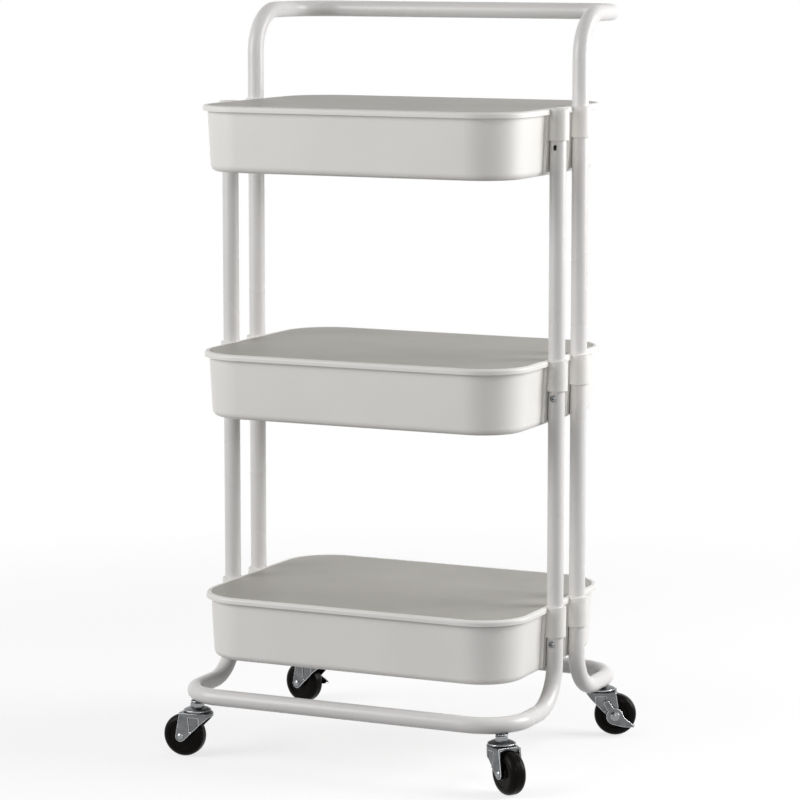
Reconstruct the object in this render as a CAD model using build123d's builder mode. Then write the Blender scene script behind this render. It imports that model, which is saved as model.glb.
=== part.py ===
from build123d import *
from math import asin, cos, radians, sin
import os

# Three-tier rolling utility cart: three pressed-steel trays with lift-off cover boards, carried
# by sleeves on two bent tube frames with plugged-on post sections, a tube handle and four swivel casters.
# Millimetres. +X runs along the trays, +Y towards the handle, +Z up; the origin is on the floor.

os.makedirs("parts", exist_ok=True)

# ---------------------------------------------------------------- layout
tray_length = 406.0
tray_depth = 306.0
tray_height = 76.0
overall_height = 870.0
bottom_crest = 191.0
handle_rise = 113.0       # top rim crest to the top of the handle
tier_pitch = (overall_height - handle_rise - bottom_crest) / 2
crests = {
    "bottom": bottom_crest,
    "middle": bottom_crest + tier_pitch,
    "top": bottom_crest + 2 * tier_pitch,
}

# ---------------------------------------------------------------- pressed trays
sheet = 1.2
tray_corner_radius = 60.0
wall_inset = 5.5          # rim edge to wall, just under the rolled rim
wall_draft = 3.5          # how far the wall leans in from there to the floor
tray_floor_radius = 8.0
rim_height = 6.5
rim_outer_radius = 3.2
rim_inner_radius = 2.0
rim_skin = 1.6            # metal left over the hollow of the rolled rim
rim_width = wall_inset + sheet

# ---------------------------------------------------------------- tubes
tube_d = 19.0
tube_wall = 1.2
tube_r = tube_d / 2
tube_bore_r = tube_r - tube_wall
bend_radius = 50.0
post_overhang = 4.5       # post axis outside the rim's end
bar_overhang = 13.0       # floor bar and handle bar axes outside the rim's long sides
post_x = tray_length / 2 + post_overhang
post_y = 33.0
bar_y = tray_depth / 2 + bar_overhang
base_bar_z = 76.0
handle_bar_z = overall_height - tube_r

# ---------------------------------------------------------------- sleeves and pads on the trays
sleeve_r = 12.5
sleeve_height = 35.5
sleeve_edge = 0.6
sleeve_clearance = 0.05
pad_width = 28.0
pad_proud_top = 4.0
pad_proud_foot = 3.2
pad_foot_height = 5.0
pad_groove_clearance = 0.6

# ---------------------------------------------------------------- plugged tube joints
joint_drop = 18.0         # a joint is hidden inside the sleeve, this far under the rim crest
spigot_clearance = 0.1
spigot_wall = 1.2
spigot_length = 45.0
shoulder_height = 1.5
spigot_r = tube_bore_r - spigot_clearance
spigot_bore_r = spigot_r - spigot_wall
screw_drop = 43.5         # screw axis under the rim crest
screw_r = 2.0
screw_head_r = 3.75
screw_head_edge = 0.9
screw_head_height = 2.4
screw_reach = 5.0
screw_hole_clearance = 0.15
pilot_clearance = 0.05
recess_width = 1.1
recess_depth = 1.3
slot_width = 4.0
slot_height = 6.0
slot_corner_r = 0.8

# ---------------------------------------------------------------- cover boards
cover_thickness = 1.5
cover_gap = 0.2
seat_ledge = 0.6
seat_clearance = 0.05
skirt_depth = 10.0
skirt_gap = 0.4
skirt_thickness = 1.2
cover_lip = rim_width - seat_ledge

# ---------------------------------------------------------------- tube end caps
cap_height = 2.4
cap_recess = 2.0
cap_plug_length = 8.0
cap_clearance = 0.1
cap_edge = 0.8

# ---------------------------------------------------------------- casters
wheel_r = 25.0
wheel_width = 20.0
wheel_round = 7.5
hub_r = 6.0
hub_gap = 0.2
dish_outer_r = 16.0
dish_inner_r = 8.0
dish_depth = 1.0
trail = 16.0
fork_sheet = 2.0
fork_half_width = 14.5
fork_nose = 19.0          # stem axis to the rounded leading end
fork_heel = 17.4          # stem axis to the trailing edge of the top plate
fork_foot_r = 6.0
fork_top_z = 53.6
fork_skirt_z = 48.5       # lower edge of the wrapped leading end
fork_edge_radius = 1.6
fork_inner_half = fork_half_width - fork_sheet
crease_depth = 0.8        # the leg's flat is pressed in by this, behind its leading edge
crease_top_x = 6.0        # upper end of the crease from the stem axis
crease_foot_x = 4.5       # lower end of the crease from the stem axis
crease_top_drop = 5.5     # upper end of the crease under the fork's top
crease_foot_rise = 6.0    # lower end of the crease over the axle
crease_front_x = -7.0     # where the pressed flat starts, behind the rounded leading end
race_r = 16.0
race_gap = 1.0            # dark gap between the upper race and the fork
race_rim = 1.4
race_top_z = 59.2
race_seat_r = 8.4
ball_r = 1.6
ball_pitch_r = 11.5
ball_count = 8
ball_clearance = 0.05
ball_lift = 1.3           # ball centre over the fork plate
stem_r = 4.0
hex_flats = 14.0
hex_bevel = 1.6           # height of the hexagon's bevelled top
hex_bevel_angle = 35.0
hex_turn = 28.0           # how far the hexagon stands turned from the wheel's heading
swivel_clearance = 0.08
kingpin_head_r = 5.5
kingpin_head_height = 1.7
kingpin_head_gap = 0.1
stem_end_rise = 4.0       # top of the stem over the tube's axis
stem_end_z = base_bar_z + stem_end_rise
insert_flange_r = 7.5
insert_flange = 1.1
insert_body_r = 5.5
insert_end_rise = 2.0     # top of the insert over the tube's axis
insert_end_z = base_bar_z + insert_end_rise
insert_clearance = 0.05
axle_r = 3.0
axle_head_r = 4.2
axle_head_height = 1.8
brake_head_r = 6.0
brake_head_height = 2.6
wheel_clearance = 0.08
rivet_clearance = 0.05
lever_sheet = 1.8
lever_boss_r = 10.0
lever_gap = 0.1
lever_clearance = 0.1
lever_reach = 26.5        # axle to the tip of the pedal arm
lever_shoulder_r = 11.0   # where the arm's upper edge leaves the boss
lever_shoulder_half = 4.0
lever_tip_half = 0.8
lever_belly_r = 14.0      # fullest place of the arm's lower edge
lever_belly = 6.8
lever_lobe_r = 3.8        # upper lobe of the lever, which lies over the fork leg
lever_lobe_reach = 18.0
lever_lobe_angle = 149.0  # from the pedal arm
pedal_start = 14.0        # the foot edge is folded in from here to the tip
pedal_sheet = 1.2
pedal_reach = 4.0

# Where the tube's lowest line and the middle of each base corner bend put the stems.
tube_underside = base_bar_z - tube_r
bend_shift = bend_radius * (1 - cos(radians(45)))
caster_x = post_x - bend_shift
caster_y = bar_y - bend_shift

# (x side, y side) of the four posts
posts = [(-1, -1), (-1, 1), (1, -1), (1, 1)]

# name: (x side, y side, heading of the trailing wheel, angle of the brake lever or None)
casters = {
    "front_left": (-1, -1, 184.0, None),
    "front_right": (1, -1, -35.0, None),
    "rear_left": (-1, 1, 165.0, 180.0),
    "rear_right": (1, 1, 20.0, -27.0),
}


def save(piece, node):
    """Name a finished piece and write its file."""
    piece.part.label = node
    export_step(piece.part, f"parts/{node}.step")


def tray_outline(inset, mode=Mode.ADD):
    """Plan outline of a tray, moved in from the rim's edge."""
    RectangleRounded(
        tray_length - 2 * inset,
        tray_depth - 2 * inset,
        tray_corner_radius - inset,
        mode=mode,
    )


def wall_x(z, floor_z, rim_z):
    """Outer face of the drafted end wall at a height."""
    return tray_length / 2 - wall_inset - wall_draft * (rim_z - z) / (rim_z - floor_z)


def sleeve_section(x_side, y_side):
    """Round sleeve cut flat on the tray side, where it meets the inside of the wall."""
    inner_x = tray_length / 2 - rim_width
    with Locations((x_side * post_x, y_side * post_y)):
        Circle(sleeve_r)
    with Locations((x_side * (inner_x - sleeve_r), y_side * post_y)):
        Rectangle(2 * sleeve_r, 2 * sleeve_r + 1, mode=Mode.SUBTRACT)


def pan_space(floor_z, rim_z):
    """Space inside a tray, one sheet thickness in from the drafted wall and floor."""
    with BuildPart() as space:
        with BuildSketch(Plane.XY.offset(floor_z + sheet)):
            tray_outline(wall_inset + wall_draft + sheet)
        with BuildSketch(Plane.XY.offset(rim_z)):
            tray_outline(rim_width)
        loft(ruled=True)
        fillet(space.faces().sort_by(Axis.Z)[0].edges(), tray_floor_radius - sheet)
        with BuildSketch(Plane.XY.offset(rim_z)):
            tray_outline(rim_width)
        extrude(amount=rim_height)
    return space.part


def make_tray(tier):
    """Pressed tray: drafted pan, hollow rolled rim, post sleeves, pads behind them and the board's seat."""
    crest = crests[tier]
    floor_z = crest - tray_height
    rim_z = crest - rim_height
    spots = [(x_side * post_x, y_side * post_y) for x_side, y_side in posts]
    with BuildPart() as tray:
        # drafted pan under a solid rim blank
        with BuildSketch(Plane.XY.offset(floor_z)):
            tray_outline(wall_inset + wall_draft)
        with BuildSketch(Plane.XY.offset(rim_z)):
            tray_outline(wall_inset)
        loft(ruled=True)
        fillet(tray.faces().sort_by(Axis.Z)[0].edges(), tray_floor_radius)
        with BuildSketch(Plane.XY.offset(rim_z)):
            tray_outline(0)
        extrude(amount=rim_height)
        fillet(tray.faces().sort_by(Axis.Z)[-1].edges(), rim_outer_radius)

        # hollow underneath the rolled rim
        with BuildSketch(Plane.XY.offset(rim_z)):
            tray_outline(sheet)
            tray_outline(wall_inset, mode=Mode.SUBTRACT)
        extrude(amount=rim_height - rim_skin, mode=Mode.SUBTRACT)

        # inside of the pan
        add(pan_space(floor_z, rim_z), mode=Mode.SUBTRACT)
        crest_face = tray.faces().filter_by(Plane.XY).sort_by(Axis.Z)[-1]
        fillet(crest_face.inner_wires()[0].edges(), rim_inner_radius)

        # pads on the end walls behind the posts
        pad_levels = (
            (floor_z + pad_foot_height, pad_proud_foot),
            (rim_z + rim_height / 2, pad_proud_top),
        )
        for x_side, y_side in posts:
            for z, proud in pad_levels:
                middle_x = wall_x(z, floor_z, rim_z) + (proud - sheet / 2) / 2
                with BuildSketch(Plane.XY.offset(z)):
                    with Locations((x_side * middle_x, y_side * post_y)):
                        Rectangle(proud + sheet / 2, pad_width)
            loft(ruled=True)

        # sleeves round the posts, with bevelled ends
        for x_side, y_side in posts:
            with BuildSketch(Plane.XY.offset(crest - sleeve_height + sleeve_edge)):
                sleeve_section(x_side, y_side)
            extrude(amount=sleeve_height - 2 * sleeve_edge)
            with BuildSketch(Plane.XY.offset(crest - sleeve_edge)):
                sleeve_section(x_side, y_side)
            extrude(amount=sleeve_edge, taper=45)
            with BuildSketch(Plane.XY.offset(crest - sleeve_height + sleeve_edge)):
                sleeve_section(x_side, y_side)
            extrude(amount=-sleeve_edge, taper=45)

        # bores for the posts, and the grooves that clear them in the pads
        with BuildSketch(Plane.XY.offset(crest - sleeve_height)):
            with Locations(*spots):
                Circle(tube_r + sleeve_clearance)
        extrude(amount=sleeve_height, mode=Mode.SUBTRACT)
        with BuildSketch(Plane.XY.offset(floor_z)):
            with Locations(*spots):
                Circle(tube_r + pad_groove_clearance)
        extrude(amount=tray_height - sleeve_height, mode=Mode.SUBTRACT)

        # ledge that the cover board sits on
        with BuildSketch(Plane.XY.offset(crest - cover_thickness - seat_clearance)):
            tray_outline(cover_lip)
        extrude(amount=cover_thickness + seat_clearance, mode=Mode.SUBTRACT)
    save(tray, f"tray_{tier}")


def make_cover(tier):
    """Lift-off board: flat panel in the rim with a locating skirt inside the wall."""
    crest = crests[tier]
    panel_z = crest - cover_thickness
    skirt_inset = rim_width + skirt_gap + wall_draft * (skirt_depth + cover_thickness) / tray_height
    with BuildPart() as cover:
        with BuildSketch(Plane.XY.offset(panel_z)):
            tray_outline(cover_lip + cover_gap)
        extrude(amount=cover_thickness)
        with BuildSketch(Plane.XY.offset(panel_z - skirt_depth)):
            tray_outline(skirt_inset)
            tray_outline(skirt_inset + skirt_thickness, mode=Mode.SUBTRACT)
        extrude(amount=skirt_depth)
    save(cover, f"cover_{tier}")


def cross_hole(x_side, y_side, z, radius):
    """Round hole through the outward face of a post, for its screw."""
    spot = Plane(
        origin=(x_side * post_x, y_side * post_y, z), x_dir=(1, 0, 0), z_dir=(0, y_side, 0)
    )
    with BuildSketch(spot) as hole:
        Circle(radius)
    extrude(hole.sketch, amount=tube_r + 1, mode=Mode.SUBTRACT)


def add_spigot(x_side, y_side, joint_z, crest):
    """Reduced end that plugs into the tube below, with its shoulder and screw hole."""
    with BuildSketch(Plane.XY.offset(joint_z - spigot_length)) as spigot:
        with Locations((x_side * post_x, y_side * post_y)):
            Circle(spigot_r)
            Circle(spigot_bore_r, mode=Mode.SUBTRACT)
    extrude(spigot.sketch, amount=spigot_length)
    with BuildSketch(Plane.XY.offset(joint_z)) as shoulder:
        with Locations((x_side * post_x, y_side * post_y)):
            Circle(tube_r)
            Circle(spigot_bore_r, mode=Mode.SUBTRACT)
    extrude(shoulder.sketch, amount=shoulder_height)
    cross_hole(x_side, y_side, crest - screw_drop, screw_r + pilot_clearance)


def make_post(x_side, y_side, lower_tier, upper_tier, node):
    """Straight post section from one tier's joint to the next; the topmost front one ends under a cap."""
    foot_z = crests[lower_tier] - joint_drop
    capped = upper_tier == "top" and y_side < 0
    head_z = crests[upper_tier] - (cap_recess if capped else joint_drop)
    screw_z = crests[upper_tier] - screw_drop
    with BuildPart() as post:
        with BuildSketch(Plane.XY.offset(foot_z)):
            with Locations((x_side * post_x, y_side * post_y)):
                Circle(tube_r)
                Circle(tube_bore_r, mode=Mode.SUBTRACT)
        extrude(amount=head_z - foot_z)
        add_spigot(x_side, y_side, foot_z, crests[lower_tier])
        if capped:
            # open slot left for hooks and hanging accessories
            face = Plane(
                origin=(x_side * post_x, y_side * post_y, screw_z), x_dir=(1, 0, 0), z_dir=(0, y_side, 0)
            )
            with BuildSketch(face):
                RectangleRounded(slot_width, slot_height, slot_corner_r)
            extrude(amount=tube_r + 1, mode=Mode.SUBTRACT)
        else:
            cross_hole(x_side, y_side, screw_z, screw_r + screw_hole_clearance)
    save(post, node)


def bent_tube(y_side, end_z, bar_z):
    """Tube swept from one post, out to the bar and back down or up the other post."""
    with BuildLine() as path:
        FilletPolyline(
            (post_x, y_side * post_y, end_z),
            (post_x, y_side * post_y, bar_z),
            (post_x, y_side * bar_y, bar_z),
            (-post_x, y_side * bar_y, bar_z),
            (-post_x, y_side * post_y, bar_z),
            (-post_x, y_side * post_y, end_z),
            radius=bend_radius,
        )
    with BuildSketch(Plane(origin=path.line @ 0, z_dir=path.line % 0)) as section:
        Circle(tube_r)
        Circle(tube_bore_r, mode=Mode.SUBTRACT)
    sweep(section.sketch, path=path.line)


def make_base_tube(y_side, node):
    """U-shaped base tube with its two short legs and the holes for the caster inserts."""
    with BuildPart() as tube:
        bent_tube(y_side, crests["bottom"] - joint_drop, base_bar_z)
        for x_side in (-1, 1):
            with BuildSketch(Plane.XY.offset(tube_underside - 1)):
                with Locations((x_side * caster_x, y_side * caster_y)):
                    Circle(insert_body_r + insert_clearance)
            extrude(amount=tube_r, mode=Mode.SUBTRACT)
            cross_hole(x_side, y_side, crests["bottom"] - screw_drop, screw_r + screw_hole_clearance)
    save(tube, node)


def dome_middle(edge_r, edge, crown):
    """Middle point of the round profile from a head's edge to its crown on the axis."""
    rise = crown - edge
    ball = (edge_r**2 + rise**2) / (2 * abs(rise))
    half_angle = asin(edge_r / ball) / 2
    drop = ball * (1 - cos(half_angle))
    return (ball * sin(half_angle), crown - drop if rise > 0 else crown + drop)


def make_screws():
    """Pan-head cross-recess screws that pin every plugged joint, heads outward."""
    joints = [(-1, "bottom"), (-1, "middle"), (1, "bottom"), (1, "middle"), (1, "top")]
    with BuildPart() as screws:
        for x_side in (-1, 1):
            for y_side, tier in joints:
                z = crests[tier] - screw_drop
                centre = Vector(x_side * post_x, y_side * post_y, z)
                side_view = Plane(origin=centre, x_dir=(1, 0, 0), z_dir=(0, 0, y_side))
                with BuildSketch(side_view):
                    with BuildLine():
                        Polyline(
                            (0, tube_r - screw_reach),
                            (screw_r, tube_r - screw_reach),
                            (screw_r, tube_r),
                            (screw_head_r, tube_r),
                            (screw_head_r, tube_r + screw_head_edge),
                        )
                        ThreePointArc(
                            (screw_head_r, tube_r + screw_head_edge),
                            dome_middle(screw_head_r, tube_r + screw_head_edge, tube_r + screw_head_height),
                            (0, tube_r + screw_head_height),
                        )
                        Line((0, tube_r + screw_head_height), (0, tube_r - screw_reach))
                    make_face()
                revolve(axis=Axis(centre, (0, y_side, 0)))
                head = Plane(origin=centre, x_dir=(1, 0, 0), z_dir=(0, y_side, 0)).offset(
                    tube_r + screw_head_height
                )
                with BuildSketch(head):
                    Rectangle(2 * screw_head_r * 0.6, recess_width)
                    Rectangle(recess_width, 2 * screw_head_r * 0.6)
                extrude(amount=-recess_depth, mode=Mode.SUBTRACT)
    save(screws, "post_screws")


def make_cap(x_side, node):
    """Cap that closes a front post inside the top sleeve."""
    seat_z = crests["top"] - cap_recess
    with BuildPart() as cap:
        with BuildSketch(Plane.XY.offset(seat_z)):
            with Locations((x_side * post_x, -post_y)):
                Circle(tube_r)
        extrude(amount=cap_height)
        fillet(cap.faces().sort_by(Axis.Z)[-1].edges(), cap_edge)
        with BuildSketch(Plane.XY.offset(seat_z - cap_plug_length)):
            with Locations((x_side * post_x, -post_y)):
                Circle(tube_bore_r - cap_clearance)
        extrude(amount=cap_plug_length)
    save(cap, node)


def make_inserts():
    """Threaded rivet inserts in the base corners, one for each caster stem."""
    with BuildPart() as inserts:
        for x_side, y_side, heading, lever in casters.values():
            with BuildSketch(Plane.XY.offset(tube_underside - seat_clearance)):
                with Locations((x_side * caster_x, y_side * caster_y)):
                    Circle(insert_flange_r)
                    Circle(stem_r + insert_clearance, mode=Mode.SUBTRACT)
            extrude(amount=-insert_flange)
            with BuildSketch(Plane.XY.offset(tube_underside - seat_clearance)):
                with Locations((x_side * caster_x, y_side * caster_y)):
                    Circle(insert_body_r)
                    Circle(stem_r + insert_clearance, mode=Mode.SUBTRACT)
            extrude(amount=insert_end_z - tube_underside)
    save(inserts, "stem_inserts")


def caster_planes(x_side, y_side, heading):
    """Floor plane turned to the caster's heading, its side view through the stem and the axle line."""
    trail_dir = Vector(cos(radians(heading)), sin(radians(heading)), 0)
    across = Vector(0, 0, 1).cross(trail_dir)
    stem = Vector(x_side * caster_x, y_side * caster_y, 0)
    floor = Plane(origin=stem, x_dir=trail_dir, z_dir=(0, 0, 1))
    side = Plane(origin=stem, x_dir=trail_dir, z_dir=-across)
    hub = stem + trail_dir * trail + Vector(0, 0, wheel_r)
    top_view = Plane(origin=hub, x_dir=trail_dir, z_dir=(0, 0, 1))
    side_at_hub = Plane(origin=hub, x_dir=trail_dir, z_dir=-across)
    return floor, side, top_view, side_at_hub, Axis(hub, across)


def fork_plan(half_width, nose):
    """Plan of the pressed fork: straight sides, rounded leading end."""
    tail = trail + fork_foot_r + 1
    nose_centre = half_width - nose
    with Locations((nose_centre, 0)):
        Circle(half_width)
    with Locations(((nose_centre + tail) / 2, 0)):
        Rectangle(tail - nose_centre, 2 * half_width)


def make_fork(floor, side, node):
    """Pressed fork: top plate with ball race and swivel hole, wrapped nose and two tapering legs."""
    with BuildPart() as fork:
        with BuildSketch(floor.offset(wheel_r - fork_foot_r - 1)):
            fork_plan(fork_half_width, fork_nose)
        extrude(amount=fork_top_z - wheel_r + fork_foot_r + 1)
        heel = floor.from_local_coords((trail + fork_foot_r + 1, 0, fork_top_z))
        top_edges = fork.faces().sort_by(Axis.Z)[-1].edges()
        fillet(top_edges.sort_by_distance(heel)[1:], fork_edge_radius)
        # side profile that leaves the tapering legs
        with BuildSketch(side.offset(-fork_half_width - 1)):
            with BuildLine():
                Polyline(
                    (-fork_nose - 1, fork_top_z + 1),
                    (fork_heel, fork_top_z + 1),
                    (fork_heel, fork_top_z - fork_sheet - 1),
                    (trail + fork_foot_r, wheel_r),
                )
                ThreePointArc(
                    (trail + fork_foot_r, wheel_r),
                    (trail + fork_foot_r * sin(radians(-22)), wheel_r - fork_foot_r * cos(radians(22))),
                    (trail - fork_foot_r * cos(radians(45)), wheel_r - fork_foot_r * sin(radians(45))),
                )
                Polyline(
                    (trail - fork_foot_r * cos(radians(45)), wheel_r - fork_foot_r * sin(radians(45))),
                    (-fork_nose + 2, fork_skirt_z),
                    (-fork_nose - 1, fork_skirt_z + 1),
                    (-fork_nose - 1, fork_top_z + 1),
                )
            make_face()
        extrude(amount=2 * fork_half_width + 2, mode=Mode.INTERSECT)
        # space for the wheel
        with BuildSketch(floor.offset(wheel_r - fork_foot_r - 1)):
            fork_plan(fork_inner_half, fork_nose - fork_sheet)
            with Locations((trail + fork_foot_r, 0)):
                Rectangle(2 * fork_foot_r, 2 * fork_inner_half)
        extrude(amount=fork_top_z - fork_sheet - wheel_r + fork_foot_r + 1, mode=Mode.SUBTRACT)
        # pressed flats on the legs, each ending in a crease
        for face_side in (-1, 1):
            with BuildSketch(side.offset(face_side * fork_half_width)):
                Polygon(
                    (crease_top_x, fork_top_z - crease_top_drop),
                    (crease_foot_x, wheel_r + crease_foot_rise),
                    (crease_front_x, wheel_r + crease_foot_rise),
                    (crease_front_x, fork_top_z - crease_top_drop),
                    align=None,
                )
            extrude(amount=-face_side * crease_depth, mode=Mode.SUBTRACT)
        # swivel hole, ball groove and axle holes
        with BuildSketch(floor.offset(fork_top_z)):
            Circle(stem_r + swivel_clearance)
        extrude(amount=-fork_sheet, mode=Mode.SUBTRACT)
        with BuildSketch(side):
            with Locations((ball_pitch_r, fork_top_z + ball_lift)):
                Circle(ball_r + ball_clearance)
        revolve(axis=Axis(floor.origin, (0, 0, 1)), mode=Mode.SUBTRACT)
        with BuildSketch(side.offset(-fork_half_width)):
            with Locations((trail, wheel_r)):
                Circle(axle_r + rivet_clearance)
        extrude(amount=2 * fork_half_width, mode=Mode.SUBTRACT)
    save(fork, node)


def make_race(side, floor, node):
    """Domed upper ball race that is clamped under the stem's hexagon."""
    rim_z = fork_top_z + race_gap
    under_z = rim_z + race_rim - 0.2
    with BuildPart() as race:
        with BuildSketch(side):
            with BuildLine():
                Polyline(
                    (stem_r + insert_clearance, under_z),
                    (race_r - 2, under_z),
                    (race_r - 1.4, rim_z),
                    (race_r, rim_z),
                    (race_r, rim_z + race_rim),
                )
                ThreePointArc(
                    (race_r, rim_z + race_rim),
                    ((race_r + race_seat_r) / 2, (rim_z + race_rim + race_top_z) / 2 + 0.45),
                    (race_seat_r, race_top_z),
                )
                Polyline(
                    (race_seat_r, race_top_z),
                    (stem_r + insert_clearance, race_top_z),
                    (stem_r + insert_clearance, under_z),
                )
            make_face()
        revolve(axis=Axis(floor.origin, (0, 0, 1)))
        with BuildSketch(side):
            with Locations((ball_pitch_r, fork_top_z + ball_lift)):
                Circle(ball_r + ball_clearance)
        revolve(axis=Axis(floor.origin, (0, 0, 1)), mode=Mode.SUBTRACT)
    save(race, node)


def make_balls(floor, node):
    """Ring of bearing balls between the fork and the upper race."""
    ring = floor.offset(fork_top_z + ball_lift)
    with BuildPart(ring) as balls:
        with PolarLocations(ball_pitch_r, ball_count):
            Sphere(ball_r)
    save(balls, node)


def make_stem(floor, node):
    """Stem: shank in the insert, hexagon, kingpin through race and fork, and its riveted lower head."""
    hex_end_z = tube_underside - seat_clearance - insert_flange
    head_top_z = fork_top_z - fork_sheet - kingpin_head_gap
    with BuildPart() as stem:
        with BuildSketch(floor.offset(head_top_z)):
            Circle(stem_r)
        extrude(amount=stem_end_z - head_top_z)
        fillet(stem.faces().sort_by(Axis.Z)[-1].edges(), stem_r / 5)
        with BuildSketch(floor.offset(race_top_z)):
            RegularPolygon(hex_flats / 2, 6, major_radius=False, rotation=hex_turn)
        extrude(amount=hex_end_z - hex_bevel - race_top_z)
        with BuildSketch(floor.offset(hex_end_z - hex_bevel)):
            RegularPolygon(hex_flats / 2, 6, major_radius=False, rotation=hex_turn)
        extrude(amount=hex_bevel, taper=hex_bevel_angle)
        with BuildSketch(floor.offset(head_top_z)):
            Circle(kingpin_head_r)
        extrude(amount=-kingpin_head_height)
    save(stem, node)


def make_wheel(top_view, axle_line, node):
    """Moulded wheel with a rounded tread, dished faces and a long hub."""
    half = wheel_width / 2
    hub_half = fork_inner_half - hub_gap
    bore_r = axle_r + wheel_clearance
    crown = wheel_r - wheel_round
    flat = half - wheel_round
    arc_r = crown + wheel_round * sin(radians(45))
    arc_s = flat + wheel_round * cos(radians(45))
    with BuildPart() as wheel:
        with BuildSketch(top_view):
            with BuildLine():
                Polyline((wheel_r, -flat), (wheel_r, flat))
                ThreePointArc((wheel_r, flat), (arc_r, arc_s), (crown, half))
                Polyline(
                    (crown, half),
                    (dish_outer_r, half),
                    (dish_outer_r - dish_depth, half - dish_depth),
                    (dish_inner_r, half - dish_depth),
                    (hub_r, half),
                    (hub_r, hub_half),
                    (bore_r, hub_half),
                    (bore_r, -hub_half),
                    (hub_r, -hub_half),
                    (hub_r, -half),
                    (dish_inner_r, -half + dish_depth),
                    (dish_outer_r - dish_depth, -half + dish_depth),
                    (dish_outer_r, -half),
                    (crown, -half),
                )
                ThreePointArc((crown, -half), (arc_r, -arc_s), (wheel_r, -flat))
            make_face()
        revolve(axis=axle_line)
    save(wheel, node)


def make_axle(top_view, axle_line, braked, node):
    """Riveted axle with domed heads; the braked one is longer, to take the lever."""
    near = fork_half_width + rivet_clearance
    far = near + (lever_sheet + 2 * lever_gap if braked else 0)
    far_head_r = brake_head_r if braked else axle_head_r
    far_crown = far + (brake_head_height if braked else axle_head_height)
    with BuildPart() as axle:
        with BuildSketch(top_view):
            with BuildLine():
                Line((0, near + axle_head_height), (0, -far_crown))
                ThreePointArc(
                    (0, -far_crown),
                    dome_middle(far_head_r, -far, -far_crown),
                    (far_head_r, -far),
                )
                Polyline((far_head_r, -far), (axle_r, -far), (axle_r, near), (axle_head_r, near))
                ThreePointArc(
                    (axle_head_r, near),
                    dome_middle(axle_head_r, near, near + axle_head_height),
                    (0, near + axle_head_height),
                )
            make_face()
        revolve(axis=axle_line)
    save(axle, node)


def make_lever(side_at_hub, angle, node):
    """Brake lever: boss on the axle, upper lobe and a pointed arm with its foot edge folded in."""
    inner_face = fork_half_width + rivet_clearance + lever_gap
    arm = Plane(
        origin=side_at_hub.origin,
        x_dir=side_at_hub.x_dir * cos(radians(angle)) + Vector(0, 0, 1) * sin(radians(angle)),
        z_dir=side_at_hub.z_dir,
    )
    edge_slope = (lever_shoulder_half - lever_tip_half) / (lever_reach - lever_shoulder_r)
    pedal_top = lever_shoulder_half - edge_slope * (pedal_start - lever_shoulder_r)
    lobe = (
        lever_lobe_reach * cos(radians(lever_lobe_angle)),
        lever_lobe_reach * sin(radians(lever_lobe_angle)),
    )
    with BuildPart() as lever:
        with BuildSketch(arm.offset(inner_face)):
            Circle(lever_boss_r)
            Polygon(
                (2, lever_boss_r - 0.3),
                (lever_shoulder_r, lever_shoulder_half),
                (lever_reach, lever_tip_half),
                (lever_reach, -lever_tip_half),
                ((lever_reach + lever_belly_r) / 2, -lever_belly * 0.6),
                (lever_belly_r, -lever_belly),
                (2, -lever_boss_r + 0.3),
                align=None,
            )
            with Locations((lobe[0] / 2, lobe[1] / 2)):
                Rectangle(lever_lobe_reach, 2 * lever_lobe_r, rotation=lever_lobe_angle)
            with Locations(lobe):
                Circle(lever_lobe_r)
            Circle(axle_r + lever_clearance, mode=Mode.SUBTRACT)
        extrude(amount=lever_sheet)
        with BuildSketch(arm.offset(inner_face)):
            Polygon(
                (pedal_start, pedal_top),
                (lever_reach, lever_tip_half),
                (lever_reach, lever_tip_half - pedal_sheet),
                (pedal_start, pedal_top - pedal_sheet),
                align=None,
            )
        extrude(amount=-pedal_reach)
    save(lever, node)


for tier in crests:
    make_tray(tier)
    make_cover(tier)

make_base_tube(-1, "base_tube_front")
make_base_tube(1, "base_tube_rear")

for row, y_side in (("front", -1), ("rear", 1)):
    for hand, x_side in (("left", -1), ("right", 1)):
        make_post(x_side, y_side, "bottom", "middle", f"post_lower_{row}_{hand}")
        make_post(x_side, y_side, "middle", "top", f"post_upper_{row}_{hand}")

with BuildPart() as handle_tube:
    bent_tube(1, crests["top"] - joint_drop, handle_bar_z)
    for x_side in (-1, 1):
        add_spigot(x_side, 1, crests["top"] - joint_drop, crests["top"])
save(handle_tube, "handle_tube")

make_cap(-1, "front_cap_left")
make_cap(1, "front_cap_right")
make_screws()
make_inserts()

for name, (x_side, y_side, heading, lever_angle) in casters.items():
    floor, side, top_view, side_at_hub, axle_line = caster_planes(x_side, y_side, heading)
    braked = lever_angle is not None
    make_stem(floor, f"caster_stem_{name}")
    make_race(side, floor, f"caster_race_{name}")
    make_balls(floor, f"caster_balls_{name}")
    make_fork(floor, side, f"caster_fork_{name}")
    make_wheel(top_view, axle_line, f"caster_wheel_{name}")
    make_axle(top_view, axle_line, braked, f"caster_axle_{name}")
    if braked:
        make_lever(side_at_hub, lever_angle, f"brake_lever_{name}")
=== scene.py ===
import math

import bmesh
import bpy
from bpy.props import FloatProperty, FloatVectorProperty, IntProperty, PointerProperty
from mathutils import Matrix, Vector


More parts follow.
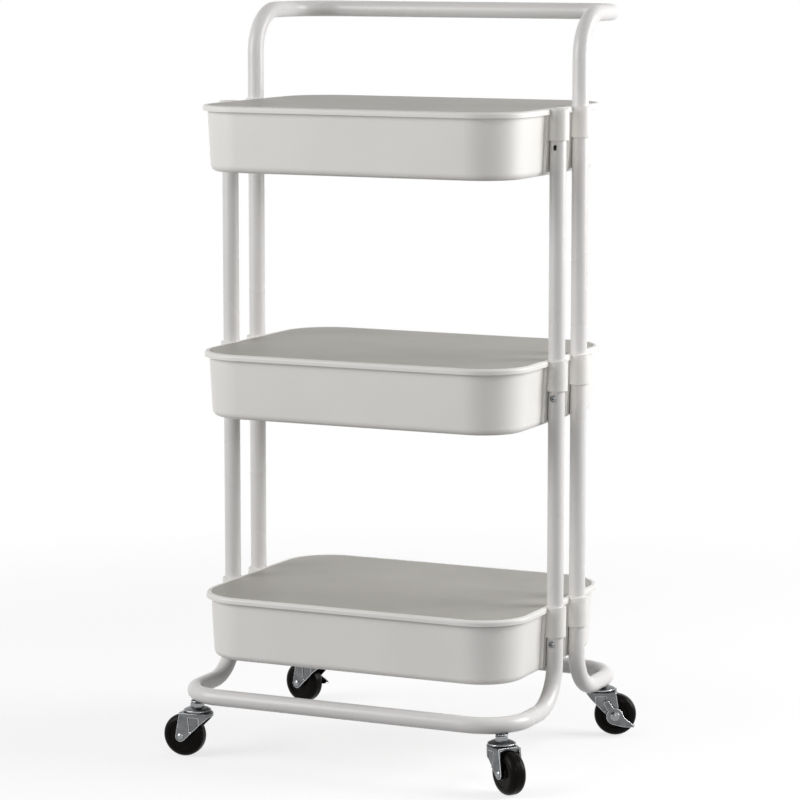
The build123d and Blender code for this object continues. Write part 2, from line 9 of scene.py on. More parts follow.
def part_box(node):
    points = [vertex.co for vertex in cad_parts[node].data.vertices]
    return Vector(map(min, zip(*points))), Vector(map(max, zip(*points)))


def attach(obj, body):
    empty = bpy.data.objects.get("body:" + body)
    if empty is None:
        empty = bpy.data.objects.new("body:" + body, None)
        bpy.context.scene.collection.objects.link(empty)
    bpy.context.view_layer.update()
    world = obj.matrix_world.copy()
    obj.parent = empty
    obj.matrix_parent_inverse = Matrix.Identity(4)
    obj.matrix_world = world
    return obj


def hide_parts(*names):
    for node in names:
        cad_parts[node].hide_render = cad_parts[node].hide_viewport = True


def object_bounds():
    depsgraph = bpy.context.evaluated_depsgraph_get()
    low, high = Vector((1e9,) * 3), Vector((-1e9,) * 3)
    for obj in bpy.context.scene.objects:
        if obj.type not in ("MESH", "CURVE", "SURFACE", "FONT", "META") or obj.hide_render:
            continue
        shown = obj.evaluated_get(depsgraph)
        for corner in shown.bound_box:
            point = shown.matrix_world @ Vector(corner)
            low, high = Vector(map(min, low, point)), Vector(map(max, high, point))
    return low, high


bl_info = {
    "name": "Rolling Utility Cart",
    "version": (1, 0, 0),
    "blender": (4, 5, 0),
    "location": "View3D > Sidebar > Cart",
    "description": "Paint, plating, screws, wheels and a soft studio for a three-tier rolling utility cart",
    "category": "Object",
}

# The frame's solids are the cart's own metal and plastic; the operators below give them their finishes.
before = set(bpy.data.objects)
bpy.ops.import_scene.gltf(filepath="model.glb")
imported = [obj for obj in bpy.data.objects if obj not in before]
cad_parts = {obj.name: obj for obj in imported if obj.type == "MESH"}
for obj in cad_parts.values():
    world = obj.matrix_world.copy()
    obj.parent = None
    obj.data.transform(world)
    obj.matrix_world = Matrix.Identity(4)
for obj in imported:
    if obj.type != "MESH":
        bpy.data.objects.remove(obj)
CART_LOW, CART_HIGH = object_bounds()
TIERS = ("bottom", "middle", "top")
CORNERS = ("front_left", "front_right", "rear_left", "rear_right")
MM = 0.001
# nearly all of a noise pattern's values lie between these two
NOISE_LOW, NOISE_HIGH = 0.3, 0.7
# roughness of the powder coats
SHEET_GLOSS, TUBE_GLOSS, CAP_GLOSS = 0.40, 0.28, 0.42
# parts of a post screw that the settings leave alone
SHANK_LENGTH = 5 * MM
SHANK_POINT = 0.6 * MM
POINT_TAPER = 0.8
HEAD_ROUND = 0.15 * MM
DOME_STEPS = 7
# the lower end of a recess wing against its upper end, along the wing and across it
WING_SPAN_TAPER, WING_WIDTH_TAPER = 0.45, 0.6
SHARP_ANGLE = math.radians(35)
# azimuth and elevation in degrees, then distance and size in metres
RIGHT_LIGHT = (114, 19, 2.2, 1.4)
LEFT_LIGHT = (-42, 20, 3.0, 1.9)
FRONT_LIGHT = (45, 15, 2.4, 0.4)
FLOOR_RADIUS = 2.0
FLOOR_DROP = 0.0005
# the floor is whole up to the first radius and clear from the second
FLOOR_FADE = (0.7, 1.6)
SENSOR_MM = 36


# ---------------------------------------------------------------- colours and nodes
def linear(hex_code):
    """Linear RGBA of an sRGB hex colour."""
    channels = [int(hex_code[i : i + 2], 16) / 255 for i in (1, 3, 5)]
    return tuple(c / 12.92 if c <= 0.04045 else ((c + 0.055) / 1.055) ** 2.4 for c in channels) + (1.0,)


def add_node(tree, kind, sockets=None, **settings):
    """Adds a node, sets it up, and fills its inputs with values or links."""
    node = tree.nodes.new(kind)
    for name, value in settings.items():
        setattr(node, name, value)
    for name, value in (sockets or {}).items():
        if isinstance(value, bpy.types.NodeSocket):
            tree.links.new(value, node.inputs[name])
        else:
            node.inputs[name].default_value = value
    return node


def new_material(name):
    """Empty node material and its tree."""
    material = bpy.data.materials.new(name)
    material.use_nodes = True
    material.node_tree.nodes.clear()
    return material, material.node_tree


def powder_coat(name, light, dark, gloss, peel_mm):
    """Polyester powder coat on steel, sprayed and baked: an even satin skin with faint orange peel."""
    material, tree = new_material(name)
    place = add_node(tree, "ShaderNodeTexCoord")
    # the film drifts in thickness over a hand's width, which moves the shade and the gloss a little
    drift = add_node(
        tree, "ShaderNodeTexNoise", {"Vector": place.outputs["Object"], "Scale": 1 / (90 * MM), "Detail": 1.0}
    )
    shade = add_node(tree, "ShaderNodeValToRGB", {"Fac": drift.outputs["Fac"]})
    thin, thick = shade.color_ramp.elements
    thin.position, thin.color = NOISE_LOW, dark
    thick.position, thick.color = NOISE_HIGH, light
    sheen = add_node(
        tree,
        "ShaderNodeMapRange",
        {
            "Value": drift.outputs["Fac"],
            "From Min": NOISE_LOW,
            "From Max": NOISE_HIGH,
            "To Min": gloss - 0.03,
            "To Max": gloss + 0.04,
        },
    )
    # real orange peel is about 1 mm across; it is drawn coarser so that it shows
    peel = add_node(
        tree, "ShaderNodeTexNoise", {"Vector": place.outputs["Object"], "Scale": 1 / (peel_mm * MM), "Detail": 1.5}
    )
    skin = add_node(tree, "ShaderNodeBump", {"Height": peel.outputs["Fac"], "Distance": 0.03 * MM})
    coat = add_node(
        tree,
        "ShaderNodeBsdfPrincipled",
        {
            "Base Color": shade.outputs["Color"],
            "Roughness": sheen.outputs["Result"],
            "IOR": 1.5,
            "Normal": skin.outputs["Normal"],
        },
    )
    add_node(tree, "ShaderNodeOutputMaterial", {"Surface": coat.outputs["BSDF"]})
    return material


def grained_abs(light, dark):
    """Thermoformed ABS sheet: matt, cloudy where it drew thinner, with a fine grained face."""
    material, tree = new_material("matt_grained_abs")
    place = add_node(tree, "ShaderNodeTexCoord")
    drift = add_node(
        tree, "ShaderNodeTexNoise", {"Vector": place.outputs["Object"], "Scale": 1 / (70 * MM), "Detail": 2.0}
    )
    shade = add_node(tree, "ShaderNodeValToRGB", {"Fac": drift.outputs["Fac"]})
    thin, thick = shade.color_ramp.elements
    thin.position, thin.color = NOISE_LOW, dark
    thick.position, thick.color = NOISE_HIGH, light
    # the moulded grain is about 0.4 mm; it is drawn at 1.5 mm so that it shows
    grain = add_node(
        tree, "ShaderNodeTexNoise", {"Vector": place.outputs["Object"], "Scale": 1 / (1.5 * MM), "Detail": 2.0}
    )
    sheen = add_node(
        tree,
        "ShaderNodeMapRange",
        {"Value": grain.outputs["Fac"], "From Min": NOISE_LOW, "From Max": NOISE_HIGH, "To Min": 0.46, "To Max": 0.56},
    )
    face = add_node(tree, "ShaderNodeBump", {"Height": grain.outputs["Fac"], "Distance": 0.02 * MM})
    sheet = add_node(
        tree,
        "ShaderNodeBsdfPrincipled",
        {
            "Base Color": shade.outputs["Color"],
            "Roughness": sheen.outputs["Result"],
            "IOR": 1.53,
            "Normal": face.outputs["Normal"],
        },
    )
    add_node(tree, "ShaderNodeOutputMaterial", {"Surface": sheet.outputs["BSDF"]})
    return material


def zinc_plate():
    """Bright zinc on pressed steel: cool mid grey, with a painted highlight along its folds and painted shade in its
    gaps.
    """
    material, tree = new_material("bright_zinc_plate")
    place = add_node(tree, "ShaderNodeTexCoord")
    # the plating clouds softly over a centimetre
    cloud = add_node(
        tree, "ShaderNodeTexNoise", {"Vector": place.outputs["Object"], "Scale": 1 / (11 * MM), "Detail": 1.0}
    )
    plating = add_node(
        tree,
        "ShaderNodeMapRange",
        {"Value": cloud.outputs["Fac"], "From Min": NOISE_LOW, "From Max": NOISE_HIGH, "To Min": 0.52, "To Max": 0.68},
    )
    # sheared and folded edges are a little round and catch the light; the colour is also lightened along them as a
    # painted highlight
    edge = add_node(tree, "ShaderNodeBevel", {"Radius": 1.1 * MM}, samples=8)
    shape = add_node(tree, "ShaderNodeNewGeometry")
    flat = add_node(
        tree, "ShaderNodeVectorMath", {0: edge.outputs["Normal"], 1: shape.outputs["Normal"]}, operation="DOT_PRODUCT"
    )
    edge_highlight = add_node(
        tree,
        "ShaderNodeMapRange",
        {"Value": flat.outputs["Value"], "From Min": 0.99, "From Max": 0.85, "To Min": 0.0, "To Max": 0.8},
    )
    # the colour is darkened in the gaps as painted shade, and the painted highlight is kept out of them
    gap = add_node(tree, "ShaderNodeAmbientOcclusion", {"Distance": 5 * MM}, samples=8)
    open_area = add_node(tree, "ShaderNodeMapRange", {"Value": gap.outputs["AO"], "From Min": 0.8, "From Max": 0.98})
    painted_highlight = add_node(
        tree, "ShaderNodeMath", {0: edge_highlight.outputs["Result"], 1: open_area.outputs["Result"]}, operation="MULTIPLY"
    )
    painted_gap_shade = add_node(
        tree,
        "ShaderNodeMapRange",
        {"Value": gap.outputs["AO"], "From Min": 0.75, "From Max": 0.25, "To Min": 0.0, "To Max": 0.9},
    )
    # the plating's tone, plus the painted edge highlight, less the painted gap shade
    plating_and_highlight = add_node(
        tree, "ShaderNodeMath", {0: plating.outputs["Result"], 1: painted_highlight.outputs["Value"]}, operation="ADD"
    )
    highlight_and_shade = add_node(
        tree, "ShaderNodeMath", {0: plating_and_highlight.outputs["Value"], 1: painted_gap_shade.outputs["Result"]}, operation="SUBTRACT"
    )
    shade = add_node(tree, "ShaderNodeValToRGB", {"Fac": highlight_and_shade.outputs["Value"]})
    dark, bright = shade.color_ramp.elements
    dark.position, dark.color = 0.1, linear("#1A1A1B")
    bright.position, bright.color = 0.95, linear("#ECEDEE")
    for position, hex_code in ((0.5, "#606264"), (0.7, "#797B7D")):
        shade.color_ramp.elements.new(position).color = linear(hex_code)
    # rolling marks run along the pressed sheet; real ones are about 0.1 mm across, these are coarser so that they show
    rolled = add_node(tree, "ShaderNodeMapping", {"Vector": place.outputs["Object"], "Scale": (1, 1, 0.12)})
    marks = add_node(
        tree, "ShaderNodeTexNoise", {"Vector": rolled.outputs["Vector"], "Scale": 1 / (1.2 * MM), "Detail": 1.0}
    )
    sheen = add_node(
        tree,
        "ShaderNodeMapRange",
        {"Value": marks.outputs["Fac"], "From Min": NOISE_LOW, "From Max": NOISE_HIGH, "To Min": 0.20, "To Max": 0.30},
    )
    plate = add_node(
        tree,
        "ShaderNodeBsdfPrincipled",
        {
            "Base Color": shade.outputs["Color"],
            "Metallic": 1.0,
            "Roughness": sheen.outputs["Result"],
            "Normal": edge.outputs["Normal"],
        },
    )
    add_node(tree, "ShaderNodeOutputMaterial", {"Surface": plate.outputs["BSDF"]})
    return material


def bright_plate(name, colour):
    """Bright plating on turned or headed steel: a tight mirror, slightly hazed by tumbling."""
    material, tree = new_material(name)
    place = add_node(tree, "ShaderNodeTexCoord")
    # the marks of tumbling are finer than this; they are drawn coarser so that they show
    marks = add_node(
        tree, "ShaderNodeTexNoise", {"Vector": place.outputs["Object"], "Scale": 1 / (0.8 * MM), "Detail": 2.0}
    )
    haze = add_node(
        tree,
        "ShaderNodeMapRange",
        {"Value": marks.outputs["Fac"], "From Min": NOISE_LOW, "From Max": NOISE_HIGH, "To Min": 0.10, "To Max": 0.20},
    )
    edge = add_node(tree, "ShaderNodeBevel", {"Radius": 0.4 * MM}, samples=8)
    plate = add_node(
        tree,
        "ShaderNodeBsdfPrincipled",
        {
            "Base Color": colour,
            "Metallic": 1.0,
            "Roughness": haze.outputs["Result"],
            "Normal": edge.outputs["Normal"],
        },
    )
    add_node(tree, "ShaderNodeOutputMaterial", {"Surface": plate.outputs["BSDF"]})
    return material


def moulded_nylon():
    """Injection-moulded black nylon: warm black, satin, with a faint mould grain."""
    material, tree = new_material("moulded_black_nylon")
    place = add_node(tree, "ShaderNodeTexCoord")
    drift = add_node(
        tree, "ShaderNodeTexNoise", {"Vector": place.outputs["Object"], "Scale": 1 / (12 * MM), "Detail": 2.0}
    )
    shade = add_node(tree, "ShaderNodeValToRGB", {"Fac": drift.outputs["Fac"]})
    dark, pale = shade.color_ramp.elements
    dark.position, dark.color = NOISE_LOW, linear("#0B0806")
    pale.position, pale.color = NOISE_HIGH, linear("#110D0A")
    sheen = add_node(
        tree,
        "ShaderNodeMapRange",
        {"Value": drift.outputs["Fac"], "From Min": NOISE_LOW, "From Max": NOISE_HIGH, "To Min": 0.20, "To Max": 0.28},
    )
    # mould grain of about 0.3 mm, drawn at 0.9 mm so that it shows
    grain = add_node(
        tree, "ShaderNodeTexNoise", {"Vector": place.outputs["Object"], "Scale": 1 / (0.9 * MM), "Detail": 1.0}
    )
    face = add_node(tree, "ShaderNodeBump", {"Height": grain.outputs["Fac"], "Distance": 0.02 * MM})
    nylon = add_node(
        tree,
        "ShaderNodeBsdfPrincipled",
        {
            "Base Color": shade.outputs["Color"],
            "Roughness": sheen.outputs["Result"],
            "IOR": 1.53,
            "Specular IOR Level": 0.06,
            "Normal": face.outputs["Normal"],
        },
    )
    add_node(tree, "ShaderNodeOutputMaterial", {"Surface": nylon.outputs["BSDF"]})
    return material


def polished_steel():
    """Ground and polished bearing steel, lightly greased."""
    material, tree = new_material("polished_bearing_steel")
    place = add_node(tree, "ShaderNodeTexCoord")
    grease = add_node(
        tree, "ShaderNodeTexNoise", {"Vector": place.outputs["Object"], "Scale": 1 / (2 * MM), "Detail": 2.0}
    )
    haze = add_node(
        tree,
        "ShaderNodeMapRange",
        {"Value": grease.outputs["Fac"], "From Min": NOISE_LOW, "From Max": NOISE_HIGH, "To Min": 0.10, "To Max": 0.20},
    )
    steel = add_node(
        tree,
        "ShaderNodeBsdfPrincipled",
        {"Base Color": linear("#B4B4B6"), "Metallic": 1.0, "Roughness": haze.outputs["Result"]},
    )
    add_node(tree, "ShaderNodeOutputMaterial", {"Surface": steel.outputs["BSDF"]})
    return material


def dress(material, *nodes):
    """Gives frame nodes a finish in place of their plain one."""
    for name in nodes:
        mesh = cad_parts[name].data
        mesh.materials.clear()
        mesh.materials.append(material)


# ---------------------------------------------------------------- settings
class CartPaintSettings(bpy.types.PropertyGroup):
    """Finish of the painted steel and of the boards."""

    light: FloatVectorProperty(
        name="Paint", description="Lighter shade of the powder coat", subtype="COLOR", size=4, min=0, max=1,
        default=linear("#F3F1EE"),
    )
    dark: FloatVectorProperty(
        name="Paint drift", description="Shade the powder coat drifts to", subtype="COLOR", size=4, min=0, max=1,
        default=linear("#EFEDE9"),
    )
    tube_light: FloatVectorProperty(
        name="Tube paint", description="Lighter shade of the tubes' powder coat", subtype="COLOR", size=4, min=0,
        max=1, default=linear("#EAE8E7"),
    )
    tube_dark: FloatVectorProperty(
        name="Tube paint drift", description="Shade the tubes' powder coat drifts to", subtype="COLOR", size=4,
        min=0, max=1, default=linear("#E6E4E2"),
    )
    board_light: FloatVectorProperty(
        name="Board", description="Lighter shade of the cover boards", subtype="COLOR", size=4, min=0, max=1,
        default=linear("#B0ADA6"),
    )
    board_dark: FloatVectorProperty(
        name="Board drift", description="Shade the boards drift to", subtype="COLOR", size=4, min=0, max=1,
        default=linear("#A9A69F"),
    )
    peel: FloatProperty(
        name="Orange peel", description="Size of one grain of orange peel, in millimetres", default=2.2, min=0.2,
        max=20,
    )


class CartScrewSettings(bpy.types.PropertyGroup):
    """Sizes of the pan-head screws that pin the posts."""

    head_radius: FloatProperty(
        name="Head radius", description="Radius of a screw's pan head", subtype="DISTANCE", unit="LENGTH",
        default=3.75 * MM, min=0.001,
    )
    edge_height: FloatProperty(
        name="Edge height", description="Height of the head's straight edge", subtype="DISTANCE", unit="LENGTH",
        default=0.9 * MM, min=0.0001,
    )
    head_height: FloatProperty(
        name="Head height", description="Height of the head at its crown", subtype="DISTANCE", unit="LENGTH",
        default=2.4 * MM, min=0.0005,
    )
    shank_radius: FloatProperty(
        name="Shank radius", description="Radius of the threaded shank", subtype="DISTANCE", unit="LENGTH",
        default=2 * MM, min=0.0005,
    )
    recess_width: FloatProperty(
        name="Recess width", description="Width of one wing of the cross recess", subtype="DISTANCE", unit="LENGTH",
        default=1.1 * MM, min=0.0001,
    )
    recess_span: FloatProperty(
        name="Recess span", description="Span of the cross recess at the head's face", subtype="DISTANCE",
        unit="LENGTH", default=4.6 * MM, min=0.0005,
    )
    recess_depth: FloatProperty(
        name="Recess depth", description="Depth of the cross recess", subtype="DISTANCE", unit="LENGTH",
        default=1.9 * MM, min=0.0005,
    )
    segments: IntProperty(name="Segments", description="Facets round a head", default=32, min=8, max=128)


class CartStageSettings(bpy.types.PropertyGroup):
    """Camera and lights of the studio."""

    azimuth: FloatProperty(
        name="Azimuth", description="Camera's turn round the cart", subtype="ANGLE", unit="ROTATION",
        default=math.radians(25.104),
    )
    elevation: FloatProperty(
        name="Elevation", description="Camera's height above the horizon", subtype="ANGLE", unit="ROTATION",
        default=math.radians(7.935),
    )
    distance: FloatProperty(
        name="Distance", description="From the camera to the cart", subtype="DISTANCE", unit="LENGTH", default=3.919
    )
    lens: FloatProperty(name="Lens", description="Focal length of the camera in millimetres", default=151.3, min=1)
    aim: FloatVectorProperty(
        name="Aim", description="Point in the middle of the picture", subtype="TRANSLATION", unit="LENGTH",
        default=(-0.0017, -0.0035, 0.4120),
    )
    right: FloatProperty(name="Right light", description="Power of the soft light at the right", default=45.5, min=0)
    left: FloatProperty(name="Left light", description="Power of the soft light at the left", default=53.5, min=0)
    front: FloatProperty(name="Front light", description="Power of the small light in front", default=4.0, min=0)
    ambient: FloatProperty(name="Ambient light", description="Strength of the room's light", default=0.17, min=0)
    floor: FloatVectorProperty(
        name="Floor", description="Colour of the pale floor", subtype="COLOR", size=4, min=0, max=1,
        default=linear("#9C9C9C"),
    )
    lift: FloatProperty(
        name="Floor lift", description="White added to the floor where it is seen, not where it lights the cart",
        default=0.74, min=0, max=1,
    )


# ---------------------------------------------------------------- painted steel and boards
class CART_OT_pressed_trays(bpy.types.Operator):
    """Powder-coat the three pressed trays"""

    bl_idname = "cart.pressed_trays"
    bl_label = "Pressed Trays"

    def execute(self, context):
        look = context.scene.cart_paint
        coat = powder_coat("white_powder_coat_sheet", tuple(look.light), tuple(look.dark), SHEET_GLOSS, look.peel)
        dress(coat, *[f"tray_{tier}" for tier in TIERS])
        return {"FINISHED"}


class CART_OT_cover_boards(bpy.types.Operator):
    """Give the three lift-off boards their matt grained face"""

    bl_idname = "cart.cover_boards"
    bl_label = "Cover Boards"

    def execute(self, context):
        look = context.scene.cart_paint
        dress(grained_abs(tuple(look.board_light), tuple(look.board_dark)), *[f"cover_{tier}" for tier in TIERS])
        return {"FINISHED"}


class CART_OT_tube_frame(bpy.types.Operator):
    """Powder-coat the base tubes, posts and handle, and finish the end caps"""

    bl_idname = "cart.tube_frame"
    bl_label = "Tube Frame"

    def execute(self, context):
        look = context.scene.cart_paint
        light, dark = tuple(look.tube_light), tuple(look.tube_dark)
        coat = powder_coat("white_powder_coat_tube", light, dark, TUBE_GLOSS, look.peel)
        posts = [f"post_{level}_{corner}" for level in ("lower", "upper") for corner in CORNERS]
        dress(coat, "base_tube_front", "base_tube_rear", "handle_tube", *posts)
        cap = powder_coat("white_coated_cap", tuple(look.light), tuple(look.dark), CAP_GLOSS, look.peel)
        dress(cap, "front_cap_left", "front_cap_right")
        return {"FINISHED"}


# ---------------------------------------------------------------- screws
def lathe(profile, segments):
    """Closed solid of revolution about Z from (radius, height) points that start and end on the axis."""
    solid = bmesh.new()
    rings = []
    for radius, height in profile:
        if radius < 1e-9:
            rings.append([solid.verts.new((0, 0, height))])
            continue
        turns = [2 * math.pi * k / segments for k in range(segments)]
        rings.append([solid.verts.new((radius * math.cos(a), radius * math.sin(a), height)) for a in turns])
    for lower, upper in zip(rings, rings[1:]):
        for k in range(segments):
            corners = [lower[k % len(lower)], lower[(k + 1) % len(lower)]]
            corners += [upper[(k + 1) % len(upper)], upper[k % len(upper)]]
            solid.faces.new(list(dict.fromkeys(corners)))
    bmesh.ops.recalc_face_normals(solid, faces=solid.faces)
    return solid


def scratch_piece(name, solid):
    """Object that holds a solid while a piece is made."""
    mesh = bpy.data.meshes.new(name)
    solid.to_mesh(mesh)
    solid.free()
    tool = bpy.data.objects.new(name, mesh)
    bpy.context.scene.collection.objects.link(tool)
    return tool


def drop(*tools):
    """Removes scratch objects and their meshes."""
    for tool in tools:
        mesh = tool.data
        bpy.data.objects.remove(tool)
        bpy.data.meshes.remove(mesh)


def cross_cutter(width, span, depth, top):
    """Two crossed wings that taper towards the bottom of a cross recess."""
    cutter = bmesh.new()
    for turn in (0, math.pi / 2):
        wing = bmesh.ops.create_cube(cutter, size=1.0)["verts"]
        for vert in wing:
            low = vert.co.z < 0
            length = vert.co.x * span * (WING_SPAN_TAPER if low else 1.0)
            across = vert.co.y * width * (WING_WIDTH_TAPER if low else 1.0)
            vert.co = Vector((length, across, top - depth if low else top + depth))
        bmesh.ops.rotate(cutter, verts=wing, matrix=Matrix.Rotation(turn, 3, "Z"))
    return cutter


def screw_mesh(size):
    """One pan-head screw, head up along Z from the tube's face, with its cross recess cut."""
    rise = size.head_height - size.edge_height
    ball = (size.head_radius**2 + rise**2) / (2 * rise)
    sweep = math.asin(size.head_radius / ball)
    leans = [sweep * (1 - k / DOME_STEPS) for k in range(DOME_STEPS + 1)]
    dome = [(ball * math.sin(a), size.head_height - ball * (1 - math.cos(a))) for a in leans]
    shank, head_edge = size.shank_radius, size.head_radius
    body = [(0, -SHANK_LENGTH), (shank * POINT_TAPER, -SHANK_LENGTH), (shank, SHANK_POINT - SHANK_LENGTH)]
    body += [(shank, 0), (head_edge - HEAD_ROUND, 0), (head_edge, HEAD_ROUND)]
    head = scratch_piece("screw_head", lathe(body + dome, size.segments))
    cutter = scratch_piece(
        "screw_recess", cross_cutter(size.recess_width, size.recess_span, size.recess_depth, size.head_height)
    )
    cut = head.modifiers.new("recess", "BOOLEAN")
    cut.operation = "DIFFERENCE"
    cut.solver = "EXACT"
    cut.use_self = True
    cut.object = cutter
    mesh = bpy.data.meshes.new_from_object(head.evaluated_get(bpy.context.evaluated_depsgraph_get()))
    drop(head, cutter)
    return mesh


def screw_spots(size):
    """Points on the posts' faces, one for each screw, that carry the way its head faces."""
    low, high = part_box("post_screws")
    post_x = (high.x - low.x) / 2 - size.head_radius
    face_y = high.y - size.head_height
    # the screw axes stand under each rim by the same drop
    crests = {tier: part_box(f"tray_{tier}")[1].z for tier in TIERS}
    rim_drop = crests["bottom"] - low.z - size.head_radius
    # the front posts have no screw at the top tier
    rows = [(-1, "bottom"), (-1, "middle"), (1, "bottom"), (1, "middle"), (1, "top")]
    spots = [(side, facing, crests[tier] - rim_drop) for side in (-1, 1) for facing, tier in rows]
    cloud = bpy.data.meshes.new("post_screw_spots")
    cloud.from_pydata([(side * post_x, facing * face_y, height) for side, facing, height in spots], [], [])
    attribute = cloud.attributes.new("facing", "FLOAT_VECTOR", "POINT")
    for entry, (side, facing, height) in zip(attribute.data, spots):
        entry.vector = (0, facing, 0)
    return cloud


def screw_tree(screw, material):
    """Geometry Nodes that set one screw on each point, turned to the point's own direction."""
    tree = bpy.data.node_groups.new("Post screws", "GeometryNodeTree")
    tree.interface.new_socket("Geometry", in_out="INPUT", socket_type="NodeSocketGeometry")
    size = tree.interface.new_socket("Size", in_out="INPUT", socket_type="NodeSocketFloat")
    size.default_value = 1.0
    seed = tree.interface.new_socket("Seed", in_out="INPUT", socket_type="NodeSocketInt")
    seed.default_value = 4
    tree.interface.new_socket("Geometry", in_out="OUTPUT", socket_type="NodeSocketGeometry")
    points = add_node(tree, "NodeGroupInput")
    one = add_node(tree, "GeometryNodeObjectInfo", {"Object": screw, "As Instance": True})
    facing = add_node(tree, "GeometryNodeInputNamedAttribute", {"Name": "facing"}, data_type="FLOAT_VECTOR")
    # each screw was driven home at its own angle
    driven = add_node(
        tree,
        "FunctionNodeRandomValue",
        {"Min": (0, 0, 0), "Max": (0, 0, math.pi / 2), "Seed": points.outputs["Seed"]},
        data_type="FLOAT_VECTOR",
    )
    turn = add_node(
        tree,
        "FunctionNodeAlignRotationToVector",
        {"Vector": facing.outputs["Attribute"]},
        axis="Z",
    )
    own = add_node(tree, "FunctionNodeEulerToRotation", {"Euler": driven.outputs["Value"]})
    both = add_node(
        tree,
        "FunctionNodeRotateRotation",
        {"Rotation": turn.outputs["Rotation"], "Rotate By": own.outputs["Rotation"]},
        rotation_space="LOCAL",
    )
    placed = add_node(
        tree,
        "GeometryNodeInstanceOnPoints",
        {
            "Points": points.outputs["Geometry"],
            "Instance": one.outputs["Geometry"],
            "Rotation": both.outputs["Rotation"],
            "Scale": points.outputs["Size"],
        },
    )
    real = add_node(tree, "GeometryNodeRealizeInstances", {"Geometry": placed.outputs["Instances"]})
    coated = add_node(tree, "GeometryNodeSetMaterial", {"Geometry": real.outputs["Geometry"], "Material": material})
    add_node(tree, "NodeGroupOutput", {"Geometry": coated.outputs["Geometry"]})
    return tree


class CART_OT_post_screws(bpy.types.Operator):
    """Set the ten chromed pan-head screws in the posts"""

    bl_idname = "cart.post_screws"
    bl_label = "Post Screws"

    def execute(self, context):
        size = context.scene.cart_screws
        one = bpy.data.objects.new("screw_one", screw_mesh(size))
        holder = bpy.data.objects.new("screw_holder", screw_spots(size))
        for made in (one, holder):
            context.scene.collection.objects.link(made)
        placing = holder.modifiers.new("placing", "NODES")
        placing.node_group = screw_tree(one, bright_plate("chromed_screw_steel", linear("#85878A")))
        context.view_layer.update()
        mesh = bpy.data.meshes.new_from_object(holder.evaluated_get(context.evaluated_depsgraph_get()))
        holder.modifiers.clear()
        drop(holder, one)
        if not mesh.polygons:
            raise RuntimeError("no screw was made")
        mesh.name = "post_screws_chromed"
        mesh.set_sharp_from_angle(angle=SHARP_ANGLE)
        screws = bpy.data.objects.new("post_screws_chromed", mesh)
        context.scene.collection.objects.link(screws)
        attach(screws, "frame")
        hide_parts("post_screws")
        return {"FINISHED"}


# ---------------------------------------------------------------- casters
class CART_OT_casters(bpy.types.Operator):
    """Plate the caster steel and finish the wheels"""

    bl_idname = "cart.casters"
    bl_label = "Casters"

    def execute(self, context):
        zinc = zinc_plate()
        nickel = bright_plate("nickel_plated_steel", linear("#8E9092"))
        dress(zinc, "stem_inserts", "brake_lever_rear_left", "brake_lever_rear_right")
        for corner in CORNERS:
            dress(zinc, f"caster_race_{corner}", f"caster_fork_{corner}")
            dress(nickel, f"caster_stem_{corner}", f"caster_axle_{corner}")
        dress(moulded_nylon(), *[f"caster_wheel_{corner}" for corner in CORNERS])
        dress(polished_steel(), *[f"caster_balls_{corner}" for corner in CORNERS])
        return {"FINISHED"}


# ---------------------------------------------------------------- stage
def facing_back(azimuth, elevation):
    """Unit vector from the cart towards a place round it; azimuth 0 is straight in front."""
    return Vector(
        (
            math.sin(azimuth) * math.cos(elevation),
            -math.cos(azimuth) * math.cos(elevation),
            math.sin(elevation),
        )
    )


def soft_light(name, power, azimuth, elevation, distance, size):
    """Square area lamp beside the cart that looks at its middle."""
    lamp = bpy.data.lights.new(name, "AREA")
    lamp.shape = "SQUARE"
    lamp.size = size
    lamp.energy = power
    back = facing_back(math.radians(azimuth), math.radians(elevation))
    light = bpy.data.objects.new(name, lamp)
    light.location = Vector((0, 0, (CART_LOW.z + CART_HIGH.z) / 2)) + back * distance
    light.rotation_euler = back.to_track_quat("Z", "Y").to_euler()
    bpy.context.scene.collection.objects.link(light)


def seen_directly(tree):
    """1 for rays from the camera, mirrors and glass, 0 for the light that falls on the cart."""
    path = add_node(tree, "ShaderNodeLightPath")
    mirrored = add_node(
        tree,
        "ShaderNodeMath",
        {0: path.outputs["Is Camera Ray"], 1: path.outputs["Is Glossy Ray"]},
        operation="MAXIMUM",
    )
    through = add_node(
        tree,
        "ShaderNodeMath",
        {0: mirrored.outputs["Value"], 1: path.outputs["Is Transmission Ray"]},
        operation="MAXIMUM",
    )
    return through.outputs["Value"]


def floor_material(colour, lift):
    """Pale matt floor that keeps the cart's shadow and fades out to the white room."""
    material, tree = new_material("pale_floor")
    matt = add_node(tree, "ShaderNodeBsdfDiffuse", {"Color": colour})
    shown = add_node(tree, "ShaderNodeMath", {0: seen_directly(tree), 1: lift}, operation="MULTIPLY")
    glow = add_node(tree, "ShaderNodeEmission", {"Color": (1, 1, 1, 1), "Strength": shown.outputs["Value"]})
    lifted = add_node(tree, "ShaderNodeAddShader", {0: matt.outputs["BSDF"], 1: glow.outputs["Emission"]})
    place = add_node(tree, "ShaderNodeTexCoord")
    away = add_node(tree, "ShaderNodeVectorMath", {0: place.outputs["Object"]}, operation="LENGTH")
    whole, gone = FLOOR_FADE
    fade = add_node(
        tree,
        "ShaderNodeMapRange",
        {"Value": away.outputs["Value"], "From Min": whole, "From Max": gone},
        interpolation_type="SMOOTHSTEP",
    )
    clear = add_node(tree, "ShaderNodeBsdfTransparent")
    mixed = add_node(
        tree,
        "ShaderNodeMixShader",
        {0: fade.outputs["Result"], 1: lifted.outputs["Shader"], 2: clear.outputs["BSDF"]},
    )
    add_node(tree, "ShaderNodeOutputMaterial", {"Surface": mixed.outputs["Shader"]})
    return material


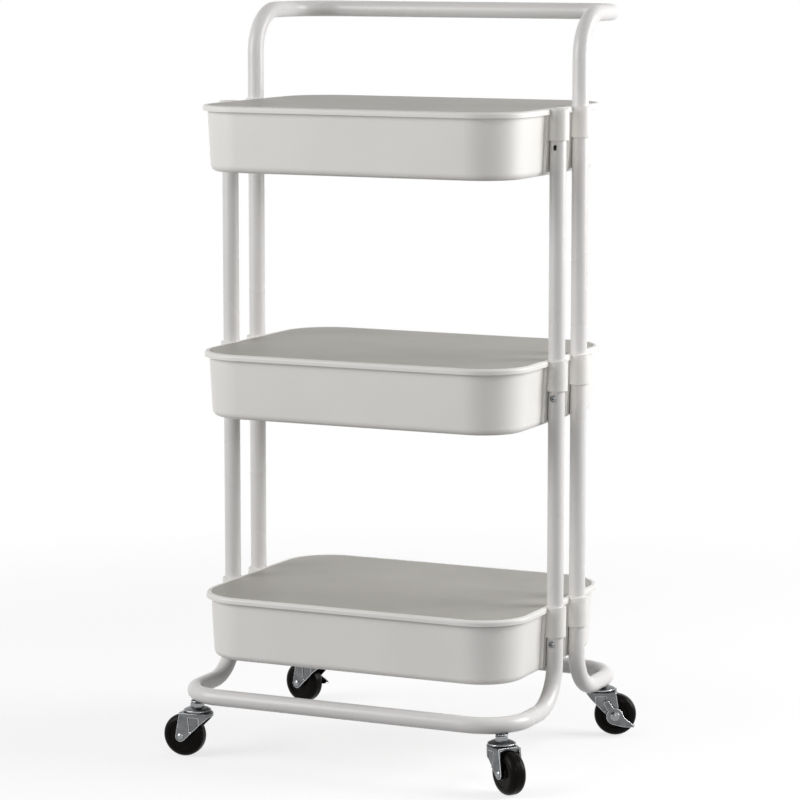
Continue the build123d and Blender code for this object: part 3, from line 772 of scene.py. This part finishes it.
def white_room(strength):
    """World that lights softly and shows as plain white."""
    world = bpy.data.worlds.new("white_room")
    world.use_nodes = True
    tree = world.node_tree
    tree.nodes.clear()
    light = add_node(tree, "ShaderNodeBackground", {"Color": (1, 1, 1, 1), "Strength": strength})
    shown = add_node(tree, "ShaderNodeBackground", {"Color": (1, 1, 1, 1), "Strength": 1.0})
    mixed = add_node(
        tree,
        "ShaderNodeMixShader",
        {0: seen_directly(tree), 1: light.outputs["Background"], 2: shown.outputs["Background"]},
    )
    add_node(tree, "ShaderNodeOutputWorld", {"Surface": mixed.outputs["Shader"]})
    return world


class CART_OT_studio(bpy.types.Operator):
    """Set the pale floor, the soft lights and the camera"""

    bl_idname = "cart.studio"
    bl_label = "Studio"

    def execute(self, context):
        stage = context.scene.cart_stage
        scene = context.scene
        disc = bmesh.new()
        bmesh.ops.create_circle(disc, cap_ends=True, radius=FLOOR_RADIUS, segments=96)
        floor = scratch_piece("floor", disc)
        floor.location.z = -FLOOR_DROP
        floor.data.materials.append(floor_material(tuple(stage.floor), stage.lift))
        scene.world = white_room(stage.ambient)
        soft_light("right_light", stage.right, *RIGHT_LIGHT)
        soft_light("left_light", stage.left, *LEFT_LIGHT)
        soft_light("front_light", stage.front, *FRONT_LIGHT)
        camera = bpy.data.objects.new("camera", bpy.data.cameras.new("camera"))
        back = facing_back(stage.azimuth, stage.elevation)
        camera.location = Vector(stage.aim) + back * stage.distance
        camera.rotation_euler = back.to_track_quat("Z", "Y").to_euler()
        camera.data.lens = stage.lens
        camera.data.sensor_width = SENSOR_MM
        scene.collection.objects.link(camera)
        scene.camera = camera
        scene.view_settings.view_transform = "Standard"
        return {"FINISHED"}


class CART_PT_cart(bpy.types.Panel):
    """Panel with the cart's settings and its pieces"""

    bl_label = "Rolling Utility Cart"
    bl_idname = "CART_PT_cart"
    bl_space_type = "VIEW_3D"
    bl_region_type = "UI"
    bl_category = "Cart"

    def draw(self, context):
        for settings in (context.scene.cart_paint, context.scene.cart_screws, context.scene.cart_stage):
            box = self.layout.box()
            for name in settings.bl_rna.properties.keys():
                if name not in ("rna_type", "name"):
                    box.prop(settings, name)
        for operator in PIECES:
            self.layout.operator(operator.bl_idname)


PIECES = (
    CART_OT_pressed_trays,
    CART_OT_cover_boards,
    CART_OT_tube_frame,
    CART_OT_post_screws,
    CART_OT_casters,
    CART_OT_studio,
)
SETTINGS = {"cart_paint": CartPaintSettings, "cart_screws": CartScrewSettings, "cart_stage": CartStageSettings}


def register():
    """Registers the settings, the operators and the panel."""
    for name, group in SETTINGS.items():
        bpy.utils.register_class(group)
        setattr(bpy.types.Scene, name, PointerProperty(type=group))
    for operator in PIECES:
        bpy.utils.register_class(operator)
    bpy.utils.register_class(CART_PT_cart)


def unregister():
    """Takes back what register did."""
    bpy.utils.unregister_class(CART_PT_cart)
    for operator in reversed(PIECES):
        bpy.utils.unregister_class(operator)
    for name, group in SETTINGS.items():
        delattr(bpy.types.Scene, name)
        bpy.utils.unregister_class(group)


def main():
    """Finishes the cart piece by piece."""
    register()
    for operator in PIECES:
        group, name = operator.bl_idname.split(".")
        getattr(getattr(bpy.ops, group), name)()


if __name__ == "__main__":
    main()
